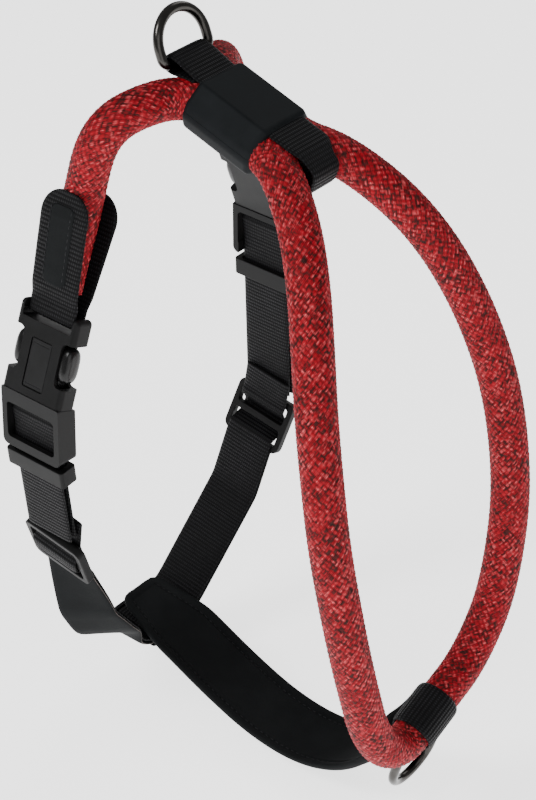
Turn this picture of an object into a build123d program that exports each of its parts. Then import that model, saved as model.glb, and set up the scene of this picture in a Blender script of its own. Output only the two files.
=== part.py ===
from build123d import *
from math import cos, sin, tan, radians, pi
import os

# A rope dog harness that clips on at both sides. Millimetres.
# +X points to the dog's head, +Y to the dog's left and +Z up. The origin is the
# middle of the flat face under the back block, which lies on the dog's back.

# Driving sizes
ROPE_DIAMETER = 16.5
ROPE_WALL = 2.0
WEBBING = 25.0
BACK_WEBBING = 21.0
WEBBING_THICKNESS = 1.5
STRAP_LAYERS = 4.3
STRAP_GAP = 1.3

# Back block, built level and then tipped nose down
BLOCK_TILT = 18.0
BLOCK_LENGTH = 36.0
BLOCK_TOP_WIDTH = 24.0
BLOCK_WALL = 2.2
BLOCK_UNDERSIDE = 18.0
BLOCK_HEIGHT = 22.9
ROPE_HEIGHT = 11.6
ROPE_SPACING = 8.4
FOLD_REACH = 14.0
RING_REACH = 16.0
RING_LIFT = -1.9
WEBBING_GAP = 0.15

# Rings
RING_WIRE = 4.2
RING_INSIDE = 22.4
TOP_RING_HEIGHT = 19.5
FRONT_RING_HEIGHT = 27.0
RING_BAR_CLEARANCE = 0.35
RING_CORNER = 3.2
TOP_RING_LEAN = 20.0
FRONT_RING_LEAN = 15.0

# Chest
BAND_LENGTH = 22.0
BAND_THICKNESS = 1.6
FRONT_RING_BAR = (100.0, 0.0, -252.5)
PAD_WIDTH = 36.0
PAD_THICKNESS = 5.0
PAD_END_WIDTH = 25.0
PAD_LINE = [
    (-66.0, -256.0), (-38.0, -267.0), (-10.0, -280.0), (18.0, -289.5),
    (46.0, -290.5), (70.0, -281.0), (87.0, -264.0), (90.5, -247.0), (90.5, -239.5),
]

# Girth: two buckles, set one higher than the other, and a V of webbing below
GIRTH_X = -44.0
BUCKLE_TILT = {"right": 22.0, "left": 20.0}
BUCKLE_JOINT = {"right": (75.0, -100.4), "left": (69.5, -74.4)}
STRAP_END = (71.6, -170.0)
KEEPER_AT = {"right": (75.35, -133.0), "left": (69.7, -108.0)}
KEEPER_TILT = {"right": -5.8, "left": 1.75}
KEEPER_HALF = (16.0, 4.0, 4.4)
KEEPER_HOLE_HALF = (13.2, 2.6)
GLIDE_AT = (66.5, 12.5)
GLIDE_TILT = 22.0
GLIDE_HALF = (16.0, 13.0, 2.0)
GLIDE_CORNER = 4.0
GLIDE_HOLE = 8.2
GLIDE_HOLES_AT = (-9.8, 1.6)
WEAVE_OFFSET = 3.1
STRAP_TAIL = (68.0, -11.5)
BELLY_TILT = 8.5
BELLY_TOP = -172.0
ARM_CORNER = (52.5, 47.0)
ARM_END = (44.7, 57.7)
BELLY_END = (44.5, 58.0)
BELLY_CORNER = (15.0, 98.5)
FACING_THICKNESS = 1.8

# Pad loop, half sizes in the belly plane
PAD_LOOP_LENGTH = 10.0
PAD_LOOP_OUTSIDE = (3.9, 14.6)
PAD_LOOP_INSIDE = (2.6, 13.2)

# Buckle, in its own frame: X forward, Y down the strap from the joint, Z outward
SOCKET_WIDTH = 32.0
SOCKET_LENGTH = 38.0
SOCKET_THICKNESS = 10.0
SOCKET_WALL = 1.7
SIDE_WALL = 2.6
CAVITY_DEPTH = 27.0
SIDE_WINDOW = (-27.0, -8.5)
SIDE_WINDOW_DEPTH = 5.6
WEBBING_REACH = 13.3
WEBBING_SLOT = (-34.6, -31.4)
SOCKET_BAR_HALF = 1.55
BADGE_HALF = 5.6
BADGE_SPAN = (-24.5, -3.5)
BADGE_DEPTH = 0.8
PLUG_LENGTH = 26.0
PLUG_BEND = 20.0
PLUG_CORNER = 3.0
PLUG_WINDOW = (5.2, 21.8)
PLUG_BAR_AT = 9.0
THROAT_HALF = (12.8, 2.9)
BAR = 3.0
GUIDE_HALF = 2.6
GUIDE_REACH = 25.5
LATCH_ARM = (5.6, 10.9)
LATCH_REACH = 25.0
LATCH_ROOT = -3.8
LATCH_PAD_END = -10.2
LATCH_PAD_HALF = 2.9

# The rope's route from the right girth end to the chest and on to the left one.
# Each arc between two runs is as large as its runs allow.
BLOCK_REAR = -18.0
BLOCK_FRONT = 19.0
RIGHT_GIRTH = [(-38.5, -41.5, 1.0), (-33.0, -36.5, 12.0), (-27.5, -26.0, 16.3), (-22.5, -14.0, 17.0)]
RIGHT_NECK = [
    (35.0, -15.0, 2.0), (51.0, -24.5, -10.5), (63.0, -34.0, -26.5), (72.5, -43.0, -47.0),
    (80.5, -50.5, -69.5), (88.0, -55.8, -93.5), (94.0, -58.5, -119.0), (99.0, -57.5, -146.0),
    (102.0, -54.0, -172.0), (103.0, -48.5, -195.0), (103.0, -42.0, -217.0),
]
CHEST = [
    (103.0, -32.0, -235.0), (103.0, -20.0, -243.0), (103.0, -10.5, -241.0), (103.0, 11.0, -232.5),
    (103.0, 23.5, -228.0), (102.5, 36.0, -218.5), (102.5, 46.0, -203.5), (102.0, 52.0, -183.0),
]
LEFT_NECK = [
    (100.5, 56.5, -158.0), (96.5, 58.5, -132.0), (91.0, 57.5, -105.0), (84.5, 53.5, -81.0),
    (76.5, 47.0, -57.0), (67.0, 38.0, -34.0), (54.5, 27.5, -14.5), (37.0, 16.0, 1.0),
]
LEFT_GIRTH = [(-22.0, 13.0, 17.2), (-28.5, 20.5, 17.0), (-36.0, 29.5, 13.5), (-41.5, 38.5, 5.0)]
ROPE_END_START = {"right": 76.0, "left": 60.0}
ROPE_END_STOP = 46.0
WRAP_TOP = {"right": 87.0, "left": 68.0}
LAST_RUN = 11.0


def block_plane():
    """The block's own frame: X along the block, Z out of its top."""
    tilt = radians(BLOCK_TILT)
    return Plane(origin=(0, 0, 0), x_dir=(cos(tilt), 0, -sin(tilt)), z_dir=(sin(tilt), 0, cos(tilt)))


def in_block(u, v, w):
    """A point of the block's frame, in the harness frame."""
    return block_plane().from_local_coords(Vector(u, v, w))


def buckle_plane(side):
    """The socket's frame on the left: X forward, Y down along the strap, Z outward."""
    return strap_plane(BUCKLE_JOINT[side], BUCKLE_TILT[side])


def plug_plane(side):
    """The same frame, turned inward at the joint, for the plug's bent frame and its strap."""
    return strap_plane(BUCKLE_JOINT[side], BUCKLE_TILT[side] - PLUG_BEND)


def strap_plane(place, tilt_degrees):
    """The same kind of frame, anywhere on the girth."""
    tilt = radians(tilt_degrees)
    return Plane(origin=(GIRTH_X, place[0], place[1]), x_dir=(1, 0, 0), z_dir=(0, cos(tilt), sin(tilt)))


def belly_plane():
    """The sloping plane of the lower V: X to the left, Y down, Z backward."""
    tilt = radians(BELLY_TILT)
    return Plane(origin=(GIRTH_X, 0, BELLY_TOP), x_dir=(0, 1, 0), z_dir=(-cos(tilt), 0, sin(tilt)))


def on_side(shape, side):
    """Shapes are built on the dog's left, and the right one is their mirror image."""
    return shape if side == "left" else mirror(shape, about=Plane.XZ)


def arc_radii(points):
    """The largest arc that each corner's two runs allow."""
    radii = []
    for before, corner, after in zip(points, points[1:], points[2:]):
        first = Vector(*corner) - Vector(*before)
        second = Vector(*after) - Vector(*corner)
        turn = radians(first.get_angle(second))
        radii.append(0.45 * min(first.length, second.length) / tan(turn / 2))
    return radii


def smooth_path(points):
    return FilletPolyline(*points, radius=arc_radii(points))


def one_piece(shape):
    """The largest solid of a cut, without the crumbs that a grazing cut leaves."""
    return max(shape.solids(), key=lambda solid: solid.volume)


def box(x_low, x_high, y_low, y_high, z_low, z_high):
    """A box between two corners."""
    size = (x_high - x_low, y_high - y_low, z_high - z_low)
    middle = ((x_low + x_high) / 2, (y_low + y_high) / 2, (z_low + z_high) / 2)
    return Pos(*middle) * Box(*size)


def flat_band(line, thickness):
    """The face of even thickness along a flat open line."""
    left = line.offset_2d(thickness / 2, side=Side.LEFT, closed=False)
    right = line.offset_2d(thickness / 2, side=Side.RIGHT, closed=False)
    ends = []
    for place in (line @ 0, line @ 1):
        corners = [min((wire @ 0, wire @ 1), key=lambda p: (p - place).length) for wire in (left, right)]
        ends.append(Line(*corners))
    return make_face(left.edges() + right.edges() + ends)


def ribbon(points, radii, thickness, width, plane):
    """Webbing of one thickness along a flat line, with its width across the line's plane."""
    face = flat_band(FilletPolyline(*points, radius=radii), thickness)
    return plane * extrude(face, width / 2, both=True)


def end_point(side, above):
    """A point on the line of a buckle, above the place where the rope starts to flatten."""
    return buckle_plane(side).from_local_coords(Vector(0, -ROPE_END_START[side] - above, 0))


def mirrored(point):
    return Vector(point.X, -point.Y, point.Z)


def rope_route():
    """The points of the rope from the right girth end to the left one."""
    right = [mirrored(end_point("right", 0)), mirrored(end_point("right", LAST_RUN))]
    left = [end_point("left", LAST_RUN), end_point("left", 0)]
    right_block = [tuple(in_block(u, -ROPE_SPACING, ROPE_HEIGHT)) for u in (BLOCK_REAR, BLOCK_FRONT)]
    left_block = [tuple(in_block(u, ROPE_SPACING, ROPE_HEIGHT)) for u in (BLOCK_FRONT, BLOCK_REAR)]
    return ([tuple(point) for point in right] + RIGHT_GIRTH + right_block + RIGHT_NECK + CHEST
            + LEFT_NECK + left_block + LEFT_GIRTH + [tuple(point) for point in left])


def make_rope():
    """The jacket with its two flattened ends, and the soft core inside."""
    points = rope_route()
    radii = arc_radii(points)
    print("rope radii:", [round(radius, 1) for radius in radii])
    path = smooth_path(points)
    start = Plane(origin=path @ 0, z_dir=path % 0)
    outer = ROPE_DIAMETER / 2
    inner = outer - ROPE_WALL
    jacket = sweep(start * (Circle(outer) - Circle(inner)), path=path)
    core = sweep(start * Circle(inner - 0.05), path=path)
    solid = sweep(start * Circle(outer), path=path)
    expected = pi * (outer ** 2 - inner ** 2) * path.length
    print("rope length:", round(path.length, 1), "jacket volume / section x length:",
          round(jacket.volume / expected, 4))
    return jacket, core, solid


def rope_end(side):
    """The last stretch of rope, flattened between the two layers of webbing."""
    plane = buckle_plane(side)
    start = ROPE_END_START[side]
    shapes = [(start - 0.05, 8.2, 8.2), ((start + ROPE_END_STOP) / 2, 9.3, 5.8), (ROPE_END_STOP, 9.8, 3.6)]
    sections = []
    for height, half_width, half_thickness in shapes:
        place = Plane(origin=(0, -height, 0), x_dir=(1, 0, 0), z_dir=(0, 1, 0))
        sections.append(place * Ellipse(half_width, half_thickness))
    return on_side(plane * loft(sections), side)


def block_body():
    """The block's outside: a flat top, round shoulders over the ropes and a flat underside."""
    half_top = BLOCK_TOP_WIDTH / 2
    half_bottom = BLOCK_UNDERSIDE / 2
    side = ROPE_SPACING + ROPE_DIAMETER / 2 + BLOCK_WALL
    outline = Polyline(
        (-half_bottom, 0), (half_bottom, 0), (side - 2.5, 3.0), (side, ROPE_HEIGHT - 2.0),
        (side - 0.8, ROPE_HEIGHT + 3.5), (half_top, BLOCK_HEIGHT), (-half_top, BLOCK_HEIGHT),
        (-side + 0.8, ROPE_HEIGHT + 3.5), (-side, ROPE_HEIGHT - 2.0), (-side + 2.5, 3.0), close=True)
    profile = make_face(outline)
    rounded = fillet(profile.vertices().filter_by(lambda v: v.Y > 1.0), 2.2)
    across = Plane(origin=(0, 0, 0), x_dir=(0, 1, 0), z_dir=(1, 0, 0))
    return extrude(across * rounded, BLOCK_LENGTH / 2, both=True)


def webbing_heights():
    """The block's webbing runs just over and just under the ropes."""
    away = ROPE_DIAMETER / 2 + WEBBING_GAP + WEBBING_THICKNESS / 2
    return ROPE_HEIGHT + away, ROPE_HEIGHT - away


def ring_loop_radius():
    return RING_WIRE / 2 + RING_BAR_CLEARANCE + WEBBING_THICKNESS / 2


def make_back_webbing(rope):
    """Webbing from the base, folded up at the crotch, over the ropes and round the ring's bar."""
    half = BLOCK_LENGTH / 2
    top, bottom = webbing_heights()
    bar = ring_loop_radius()
    front = half + FOLD_REACH
    rear = half + RING_REACH
    high = top + RING_LIFT + bar
    low = top + RING_LIFT - bar
    points = [
        (-half + 3, bottom), (front + 1, bottom), (front + 9, bottom + 5), (front + 9, top - 5),
        (front, top), (-half - 2, top), (-rear + 4, high), (-rear - bar, high), (-rear - bar, low),
        (-rear + 1.5, low), (-half - 3, top - WEBBING_THICKNESS - WEBBING_GAP)]
    radii = [4.0, 4.5, 4.5, 4.0, 4.0, 4.0, bar - 0.05, bar - 0.05, 3.0]
    across = Plane(origin=(0, 0, 0), x_dir=(1, 0, 0), z_dir=(0, -1, 0))
    band = ribbon(points, radii, WEBBING_THICKNESS, BACK_WEBBING, across)
    wide = BACK_WEBBING / 2 + 1
    narrow = BACK_WEBBING / 2 - 3.5
    plan = Polyline((-rear - 20, -wide), (front - 4, -wide), (front + 4, -narrow), (front + 20, -narrow),
                    (front + 20, narrow), (front + 4, narrow), (front - 4, wide), (-rear - 20, wide), close=True)
    band = band & extrude(make_face(plan), BLOCK_HEIGHT * 2, both=True)
    return one_piece(block_plane() * band - rope)


def ring_plan(height):
    """The middle line of a D-ring, hanging from a bar along X at the origin."""
    half = (RING_INSIDE + RING_WIRE) / 2
    leg = height - half
    corner = RING_CORNER
    bottom = Line((-half + corner, 0), (half - corner, 0))
    right = JernArc(bottom @ 1, bottom % 1, corner, 90)
    right_leg = Line(right @ 1, (half, leg))
    arch = JernArc(right_leg @ 1, right_leg % 1, half, 180)
    left_leg = Line(arch @ 1, (-half, corner))
    left = JernArc(left_leg @ 1, left_leg % 1, corner, 90)
    return Wire([bottom, right, right_leg, arch, left_leg, left])


def d_ring(plane, height):
    """A bent and welded wire ring."""
    path = ring_plan(height)
    section = Plane(origin=path @ 0, z_dir=path % 0) * Circle(RING_WIRE / 2)
    return plane * sweep(section, path=path)


def top_ring_plane():
    """At the bar of the back ring: Y up the ring, which leans back, and X to the left."""
    lean = radians(TOP_RING_LEAN)
    top, _ = webbing_heights()
    place = in_block(-BLOCK_LENGTH / 2 - RING_REACH, 0, top + RING_LIFT)
    return Plane(origin=place, x_dir=(0, 1, 0), z_dir=(cos(lean), 0, sin(lean)))


def front_ring_plane():
    """At the bar of the chest ring, which hangs down and a little back: Y down the ring."""
    lean = radians(FRONT_RING_LEAN)
    return Plane(origin=FRONT_RING_BAR, x_dir=(0, 1, 0), z_dir=(-cos(lean), 0, sin(lean)))


def make_chest_band(rope):
    """Webbing round the rope, and down round the front ring's bar."""
    low = Vector(*CHEST[2])
    high = Vector(*CHEST[3])
    along = (high - low).normalized()
    middle = (low + high) * 0.5
    shell = Plane(origin=middle, z_dir=along)
    outer = ROPE_DIAMETER / 2 + BAND_THICKNESS
    band = shell * extrude(Circle(outer), BAND_LENGTH / 2, both=True)
    bar_hole = RING_WIRE / 2 + RING_BAR_CLEARANCE
    half = RING_INSIDE / 2 - 0.6
    across = Plane(origin=FRONT_RING_BAR, x_dir=(1, 0, 0), z_dir=(0, -1, 0))
    sleeve = across * extrude(Circle(bar_hole + BAND_THICKNESS), half, both=True)
    x, _, z = FRONT_RING_BAR
    tail = box(x - 3.9, x + 2.0, -half, half, z, z + 9.0)
    tab = box(x - 6.6, x - 2.0, -half, half, z + 1.0, z + 10.0)
    hole = across * extrude(Circle(bar_hole), WEBBING, both=True)
    return one_piece(band + sleeve + tail + tab - hole - rope)


def make_chest_pad():
    """A soft strip from behind the girth to the chest band, with a narrower rear end."""
    flat = [(x, -z) for x, z in PAD_LINE]
    plane = Plane(origin=(0, 0, 0), x_dir=(1, 0, 0), z_dir=(0, 1, 0))
    strip = ribbon(flat, flat_radii(flat), PAD_THICKNESS, PAD_WIDTH, plane)
    half = PAD_WIDTH / 2
    end = PAD_END_WIDTH / 2
    rear = PAD_LINE[0][0] - 6
    plan = Polyline((rear, -end), (rear + 14, -end - 1), (rear + 36, -half), (130, -half), (130, half),
                    (rear + 36, half), (rear + 14, end + 1), (rear, end), close=True)
    return strip & Pos(0, 0, -260) * extrude(make_face(plan), 60, both=True)


def flat_radii(points):
    """The arcs of a flat line, from the same rule as the rope's."""
    return arc_radii([(a, b, 0) for a, b in points])


def make_belly():
    """The ribbed strap under the belly and the smooth facing on its outside."""
    half = [BELLY_END, BELLY_CORNER]
    points = half + [(-x, y) for x, y in reversed(half)]
    line = FilletPolyline(*points, radius=[22.0, 22.0])
    gap = (WEBBING_THICKNESS + FACING_THICKNESS) / 2 + 0.05
    sides = [line.offset_2d(gap, side=side, closed=False) for side in (Side.LEFT, Side.RIGHT)]
    outside = max(sides, key=lambda wire: wire.length)
    strap = extrude(flat_band(line, WEBBING_THICKNESS), WEBBING / 2, both=True)
    facing = extrude(flat_band(outside, FACING_THICKNESS), WEBBING / 2 + 0.5, both=True)
    return belly_plane() * strap, belly_plane() * facing


def on_glide(down, outward):
    """A point of the slider's own flat frame, in the plane of the belly strap."""
    tilt = radians(GLIDE_TILT)
    x = GLIDE_AT[0] - down * sin(tilt) + outward * cos(tilt)
    y = GLIDE_AT[1] + down * cos(tilt) + outward * sin(tilt)
    return x, y


def make_lower_strap(side):
    """Webbing behind the slider's top bar, over its middle bar, behind its lower bar and down."""
    behind, over = -WEAVE_OFFSET, WEAVE_OFFSET
    weave = [(-11.0, behind), (-7.6, behind), (-2.6, over), (2.6, over), (7.6, behind), (13, behind)]
    points = [STRAP_TAIL] + [on_glide(*place) for place in weave] + [ARM_CORNER, ARM_END]
    radii = [3.0, 1.5, 1.5, 1.5, 1.5, 3.0, 15.0]
    return on_side(ribbon(points, radii, WEBBING_THICKNESS, WEBBING, belly_plane()), side)


def make_socket(side):
    """The half with the slot for the rope end: a hollow shell with two side windows."""
    half = SOCKET_WIDTH / 2
    thick = SOCKET_THICKNESS / 2
    shell = box(-half, half, -SOCKET_LENGTH, 0, -thick, thick)
    shell = fillet(shell.edges().filter_by(Axis.Y), SIDE_WALL)
    cavity = box(-half + SIDE_WALL, half - SIDE_WALL, -CAVITY_DEPTH, 1, -thick + SOCKET_WALL, thick - SOCKET_WALL)
    depth = SIDE_WINDOW_DEPTH
    windows = [box(s * half - depth, s * half + depth, *SIDE_WINDOW, -thick - 1, thick + 1) for s in (-1, 1)]
    slot = box(-WEBBING_REACH, WEBBING_REACH, *WEBBING_SLOT, -thick - 1, thick + 1)
    spans = ((-thick - 1, -SOCKET_BAR_HALF), (SOCKET_BAR_HALF, thick + 1))
    top = -SOCKET_LENGTH - 1
    beside_bar = [box(-WEBBING_REACH, WEBBING_REACH, top, WEBBING_SLOT[0] + 0.1, *span) for span in spans]
    badge = box(-BADGE_HALF, BADGE_HALF, *BADGE_SPAN, thick - BADGE_DEPTH, thick + 1)
    return on_side(buckle_plane(side) * (shell - cavity - windows - slot - beside_bar - badge), side)


def make_badge(side):
    top, bottom = BADGE_SPAN
    face = SOCKET_THICKNESS / 2
    half = BADGE_HALF - 0.2
    plate = box(-half, half, top + 0.2, bottom - 0.2, face - BADGE_DEPTH, face - 0.1)
    plate = fillet(plate.edges().filter_by(Axis.Z), 1.0)
    return on_side(buckle_plane(side) * plate, side)


def make_plug(side):
    """The other half: a frame bent inward, with a bar for the strap, and a guide that enters the socket."""
    half = SOCKET_WIDTH / 2
    thick = SOCKET_THICKNESS / 2
    frame = box(-half, half, -PLUG_CORNER, PLUG_LENGTH, -thick, thick)
    frame = fillet(frame.edges().filter_by(Axis.Z), PLUG_CORNER)
    window = box(-WEBBING_REACH, WEBBING_REACH, *PLUG_WINDOW, -thick - 1, thick + 1)
    throat_half, throat_top = THROAT_HALF
    throat = box(-throat_half, throat_half, PLUG_WINDOW[1] - 0.1, PLUG_LENGTH + 1, -thick - 1, throat_top)
    bar = Pos(0, PLUG_BAR_AT, 0) * Rot(0, 90, 0) * Cylinder(BAR / 2, SOCKET_WIDTH - 3)
    above_joint = box(-SOCKET_WIDTH, SOCKET_WIDTH, -3 * PLUG_CORNER, 0.2, -2 * thick, 2 * thick)
    frame = plug_plane(side) * (frame - window - throat + bar) - buckle_plane(side) * above_joint
    guide = box(-GUIDE_HALF, GUIDE_HALF, -GUIDE_REACH, 1.5, -GUIDE_HALF, GUIDE_HALF)
    bridge = box(-throat_half, throat_half, -3.0, 1.5, -GUIDE_HALF, GUIDE_HALF)
    return on_side(frame + buckle_plane(side) * (guide + bridge), side)


def make_latch(side, end):
    """One spring arm, from the plug's root to the pad that fills the socket's window."""
    half = SOCKET_WIDTH / 2
    inner, outer = LATCH_ARM
    arm = box(inner, outer, -LATCH_REACH, LATCH_ROOT, -GUIDE_HALF, GUIDE_HALF)
    pad = box(outer - 0.1, half - 0.4, -LATCH_REACH, LATCH_PAD_END, -LATCH_PAD_HALF, LATCH_PAD_HALF)
    pad = fillet(pad.edges().filter_by(Axis.Z), 1.8)
    latch = arm + pad
    if end == "rear":
        latch = mirror(latch, about=Plane.YZ)
    return on_side(buckle_plane(side) * latch, side)


def make_rope_end_webbing(side):
    """Webbing down the outside of the rope's end, round the socket's bar and up the inside."""
    plane = Plane(origin=(0, 0, 0), x_dir=(0, 1, 0), z_dir=(1, 0, 0))
    start = ROPE_END_START[side]
    bar = -SOCKET_LENGTH + 1.7
    gap = 2.6
    outer = [(-WRAP_TOP[side], 9.3), (-start, 9.2), (-(start + ROPE_END_STOP) / 2, 6.9),
             (-ROPE_END_STOP, 4.7), (-41.5, gap + 0.4), (bar + gap + 0.4, gap)]
    points = outer + [(down, -outward) for down, outward in reversed(outer)]
    radii = [8.0, 8.0, 6.0, 2.0, gap - 0.2, gap - 0.2, 2.0, 6.0, 8.0, 8.0]
    return on_side(buckle_plane(side) * ribbon(points, radii, WEBBING_THICKNESS, WEBBING, plane), side)


def make_strap_loop(side):
    """Doubled webbing from the plug's bar down to the slider, with a gap between its layers."""
    across = Plane(origin=(GIRTH_X, 0, 0), x_dir=(0, 1, 0), z_dir=(1, 0, 0))
    bar = plug_plane(side).from_local_coords(Vector(0, PLUG_BAR_AT, 0))
    exit_point = plug_plane(side).from_local_coords(Vector(0, PLUG_LENGTH + 1.0, 0))
    middle = FilletPolyline((bar.Y, bar.Z), (exit_point.Y, exit_point.Z), STRAP_END, radius=12.0)
    face = flat_band(middle, STRAP_LAYERS) - flat_band(middle, STRAP_GAP)
    hole = Pos(bar.Y, bar.Z) * Circle(BAR / 2 + 0.2)
    round_bar = Pos(bar.Y, bar.Z) * Circle(BAR / 2 + 0.2 + WEBBING_THICKNESS)
    face = face + round_bar - hole
    return on_side(across * extrude(face, WEBBING / 2, both=True), side)


def make_keeper(side):
    """A flat plastic sleeve over the doubled strap."""
    width, length, thick = KEEPER_HALF
    hole_width, hole_thick = KEEPER_HOLE_HALF
    body = box(-width, width, -length, length, -thick, thick)
    body = fillet(body.edges().filter_by(Axis.Y), 1.6)
    hole = box(-hole_width, hole_width, -length - 1, length + 1, -hole_thick, hole_thick)
    return on_side(strap_plane(KEEPER_AT[side], KEEPER_TILT[side]) * (body - hole), side)


def make_triglide(side):
    """A frame with a middle bar."""
    width, length, thick = GLIDE_HALF
    frame = box(-width, width, -length, length, -thick, thick)
    frame = fillet(frame.edges().filter_by(Axis.Z), GLIDE_CORNER)
    reach = KEEPER_HOLE_HALF[0]
    holes = [box(-reach, reach, low, low + GLIDE_HOLE, -thick - 1, thick + 1) for low in GLIDE_HOLES_AT]
    middle = belly_plane().from_local_coords(Vector(*GLIDE_AT, 0))
    outward = belly_plane().from_local_coords(Vector(*on_glide(0, 1), 0)) - middle
    place = Plane(origin=middle, x_dir=-belly_plane().z_dir, z_dir=outward)
    return on_side(place * (frame - holes), side)


def make_pad_loop():
    """The webbing loop sewn under the pad, round the belly strap."""
    drop = BELLY_CORNER[1] + 0.9
    length = PAD_LOOP_LENGTH
    tall, wide = PAD_LOOP_OUTSIDE
    outside = box(-length, length, drop - tall, drop + tall, -wide, wide)
    tall, wide = PAD_LOOP_INSIDE
    inside = box(-length - 1, length + 1, drop - tall, drop + tall, -wide, wide)
    return belly_plane() * (outside - inside)


def write(shape, name):
    export_step(shape, f"parts/{name}.step")


def main():
    os.makedirs("parts", exist_ok=True)
    jacket, core, rope = make_rope()
    write(jacket, "rope_jacket")
    write(core, "rope_core")
    body = block_body()
    webbing = make_back_webbing(rope)
    split = box(-40, 40, -40, 40, ROPE_HEIGHT, 60)
    top, bottom = webbing_heights()
    slot = BACK_WEBBING / 2 + 0.2
    over = box(-30, 30, -slot, slot, top - 2.0, top + 0.9)
    under = box(-BLOCK_LENGTH / 2 + 1.5, 30, -slot, slot, bottom - 0.9, bottom + 2.0)
    between = box(-30, 30, -ROPE_SPACING, ROPE_SPACING, bottom, top)
    tunnel = block_plane() * (over + under + between)
    write(one_piece(block_plane() * (body & split) - rope - tunnel), "back_block_cover")
    write(one_piece(block_plane() * (body - split) - rope - tunnel), "back_block_base")
    write(webbing, "back_webbing")
    write(d_ring(top_ring_plane(), TOP_RING_HEIGHT), "top_d_ring")
    write(make_chest_band(rope), "chest_band")
    write(d_ring(front_ring_plane(), FRONT_RING_HEIGHT), "front_d_ring")
    write(make_chest_pad(), "chest_pad")
    write(make_pad_loop(), "pad_strap_loop")
    strap, facing = make_belly()
    write(strap, "belly_strap")
    write(facing, "belly_facing")
    for side in ("right", "left"):
        write(make_lower_strap(side), f"{side}_lower_strap")
        write(rope_end(side), f"{side}_rope_end")
        write(make_rope_end_webbing(side), f"{side}_rope_end_webbing")
        write(make_socket(side), f"{side}_buckle_socket")
        write(make_badge(side), f"{side}_badge")
        write(make_plug(side), f"{side}_buckle_plug")
        write(make_latch(side, "front"), f"{side}_latch_front")
        write(make_latch(side, "rear"), f"{side}_latch_rear")
        write(make_strap_loop(side), f"{side}_strap_loop")
        write(make_keeper(side), f"{side}_keeper")
        write(make_triglide(side), f"{side}_triglide")


if __name__ == "__main__":
    main()
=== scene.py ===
from math import cos, sin, tan, acos, radians, pi

import bmesh
import bpy
import numpy as np
from mathutils import Matrix, Vector


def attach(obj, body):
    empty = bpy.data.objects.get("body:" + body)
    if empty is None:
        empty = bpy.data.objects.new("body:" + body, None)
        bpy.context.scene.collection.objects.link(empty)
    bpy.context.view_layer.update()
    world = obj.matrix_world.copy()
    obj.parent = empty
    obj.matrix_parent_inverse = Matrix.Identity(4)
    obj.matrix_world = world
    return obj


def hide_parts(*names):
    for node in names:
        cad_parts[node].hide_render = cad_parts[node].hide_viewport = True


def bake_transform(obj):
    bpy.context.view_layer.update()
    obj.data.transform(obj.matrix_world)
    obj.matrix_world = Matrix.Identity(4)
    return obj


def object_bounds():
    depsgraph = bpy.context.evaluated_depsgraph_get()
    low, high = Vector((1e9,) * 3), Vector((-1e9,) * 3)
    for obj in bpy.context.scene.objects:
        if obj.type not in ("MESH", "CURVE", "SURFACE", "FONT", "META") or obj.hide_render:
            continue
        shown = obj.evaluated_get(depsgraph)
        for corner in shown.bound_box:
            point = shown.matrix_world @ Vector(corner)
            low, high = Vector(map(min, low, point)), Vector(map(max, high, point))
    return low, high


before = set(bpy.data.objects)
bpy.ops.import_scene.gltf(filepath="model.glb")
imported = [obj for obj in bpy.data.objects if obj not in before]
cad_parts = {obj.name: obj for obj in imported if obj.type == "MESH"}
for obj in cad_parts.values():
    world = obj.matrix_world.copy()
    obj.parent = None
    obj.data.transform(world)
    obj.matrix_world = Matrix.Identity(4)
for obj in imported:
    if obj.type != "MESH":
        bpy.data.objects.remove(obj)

CAD_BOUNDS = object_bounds()
MM = 0.001
RANDOM = np.random.default_rng(7)

# ---------------------------------------------------------------- sizes, mm
ROPE_RADIUS = 8.25
WEBBING = 25.0
BACK_WEBBING = 21.0
WEBBING_THICKNESS = 1.5
RIB_PITCH = 1.75
RIB_HEIGHT = 0.13
THREAD_HEIGHT = 0.03
THREAD_PITCH = 1.05

BLOCK_TILT = radians(18.0)
BLOCK_LENGTH = 36.0
BLOCK_HEIGHT = 22.9
ROPE_HEIGHT = 11.6
ROPE_SPACING = 8.4
FOLD_REACH = 14.0
FOLD_PINCH = 2.6
RING_REACH = 16.0
RING_LIFT = -1.9
TOP_RING_LEAN = radians(20.0)
FRONT_RING_LEAN = radians(15.0)
RING_WIRE = 4.2
RING_INSIDE = 22.4
RING_CORNER = 3.4
WIRE_TO_WEBBING = RING_WIRE / 2 + 0.35 + WEBBING_THICKNESS / 2
TOP_RING_HEIGHT = 19.5
FRONT_RING_HEIGHT = 27.0
FRONT_RING_BAR = Vector((100.0, 0.0, -252.5))

GIRTH_X = -44.0
BUCKLE_TILT = {"right": radians(22.0), "left": radians(20.0)}
PLUG_BEND = radians(20.0)
BUCKLE_JOINT = {"right": (75.0, -100.4), "left": (69.5, -74.4)}
SIDE_SIGN = {"right": -1, "left": 1}
SOCKET_LENGTH = 38.0
SOCKET_WIDTH = 32.0
PLUG_LENGTH = 26.0
PLUG_BAR_AT = 9.0
STRAP_END = (71.6, -170.0)
KEEPER_AT = {"right": (75.35, -133.0), "left": (69.7, -108.0)}
KEEPER_TILT = {"right": radians(-5.8), "left": radians(1.75)}
ROPE_END_START = {"right": 76.0, "left": 60.0}
ROPE_END_STOP = 46.0
WRAP_TOP = {"right": 87.0, "left": 68.0}
LAST_RUN = 11.0
GLIDE_AT = (66.5, 12.5)
GLIDE_TILT = radians(22.0)
STRAP_TAIL = (68.0, -11.5)
BELLY_TILT = radians(8.5)
BELLY_TOP = -172.0
ARM_CORNER = (52.5, 47.0)
BELLY_END = (44.5, 58.0)
BELLY_CORNER = (15.0, 98.5)
STRAP_SLACK = {"right": (8.0, 0.0, -9.5), "left": (0.0, 0.0, 0.0)}
STRAP_ROLL = {"right": radians(40.0), "left": 0.0}

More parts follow.
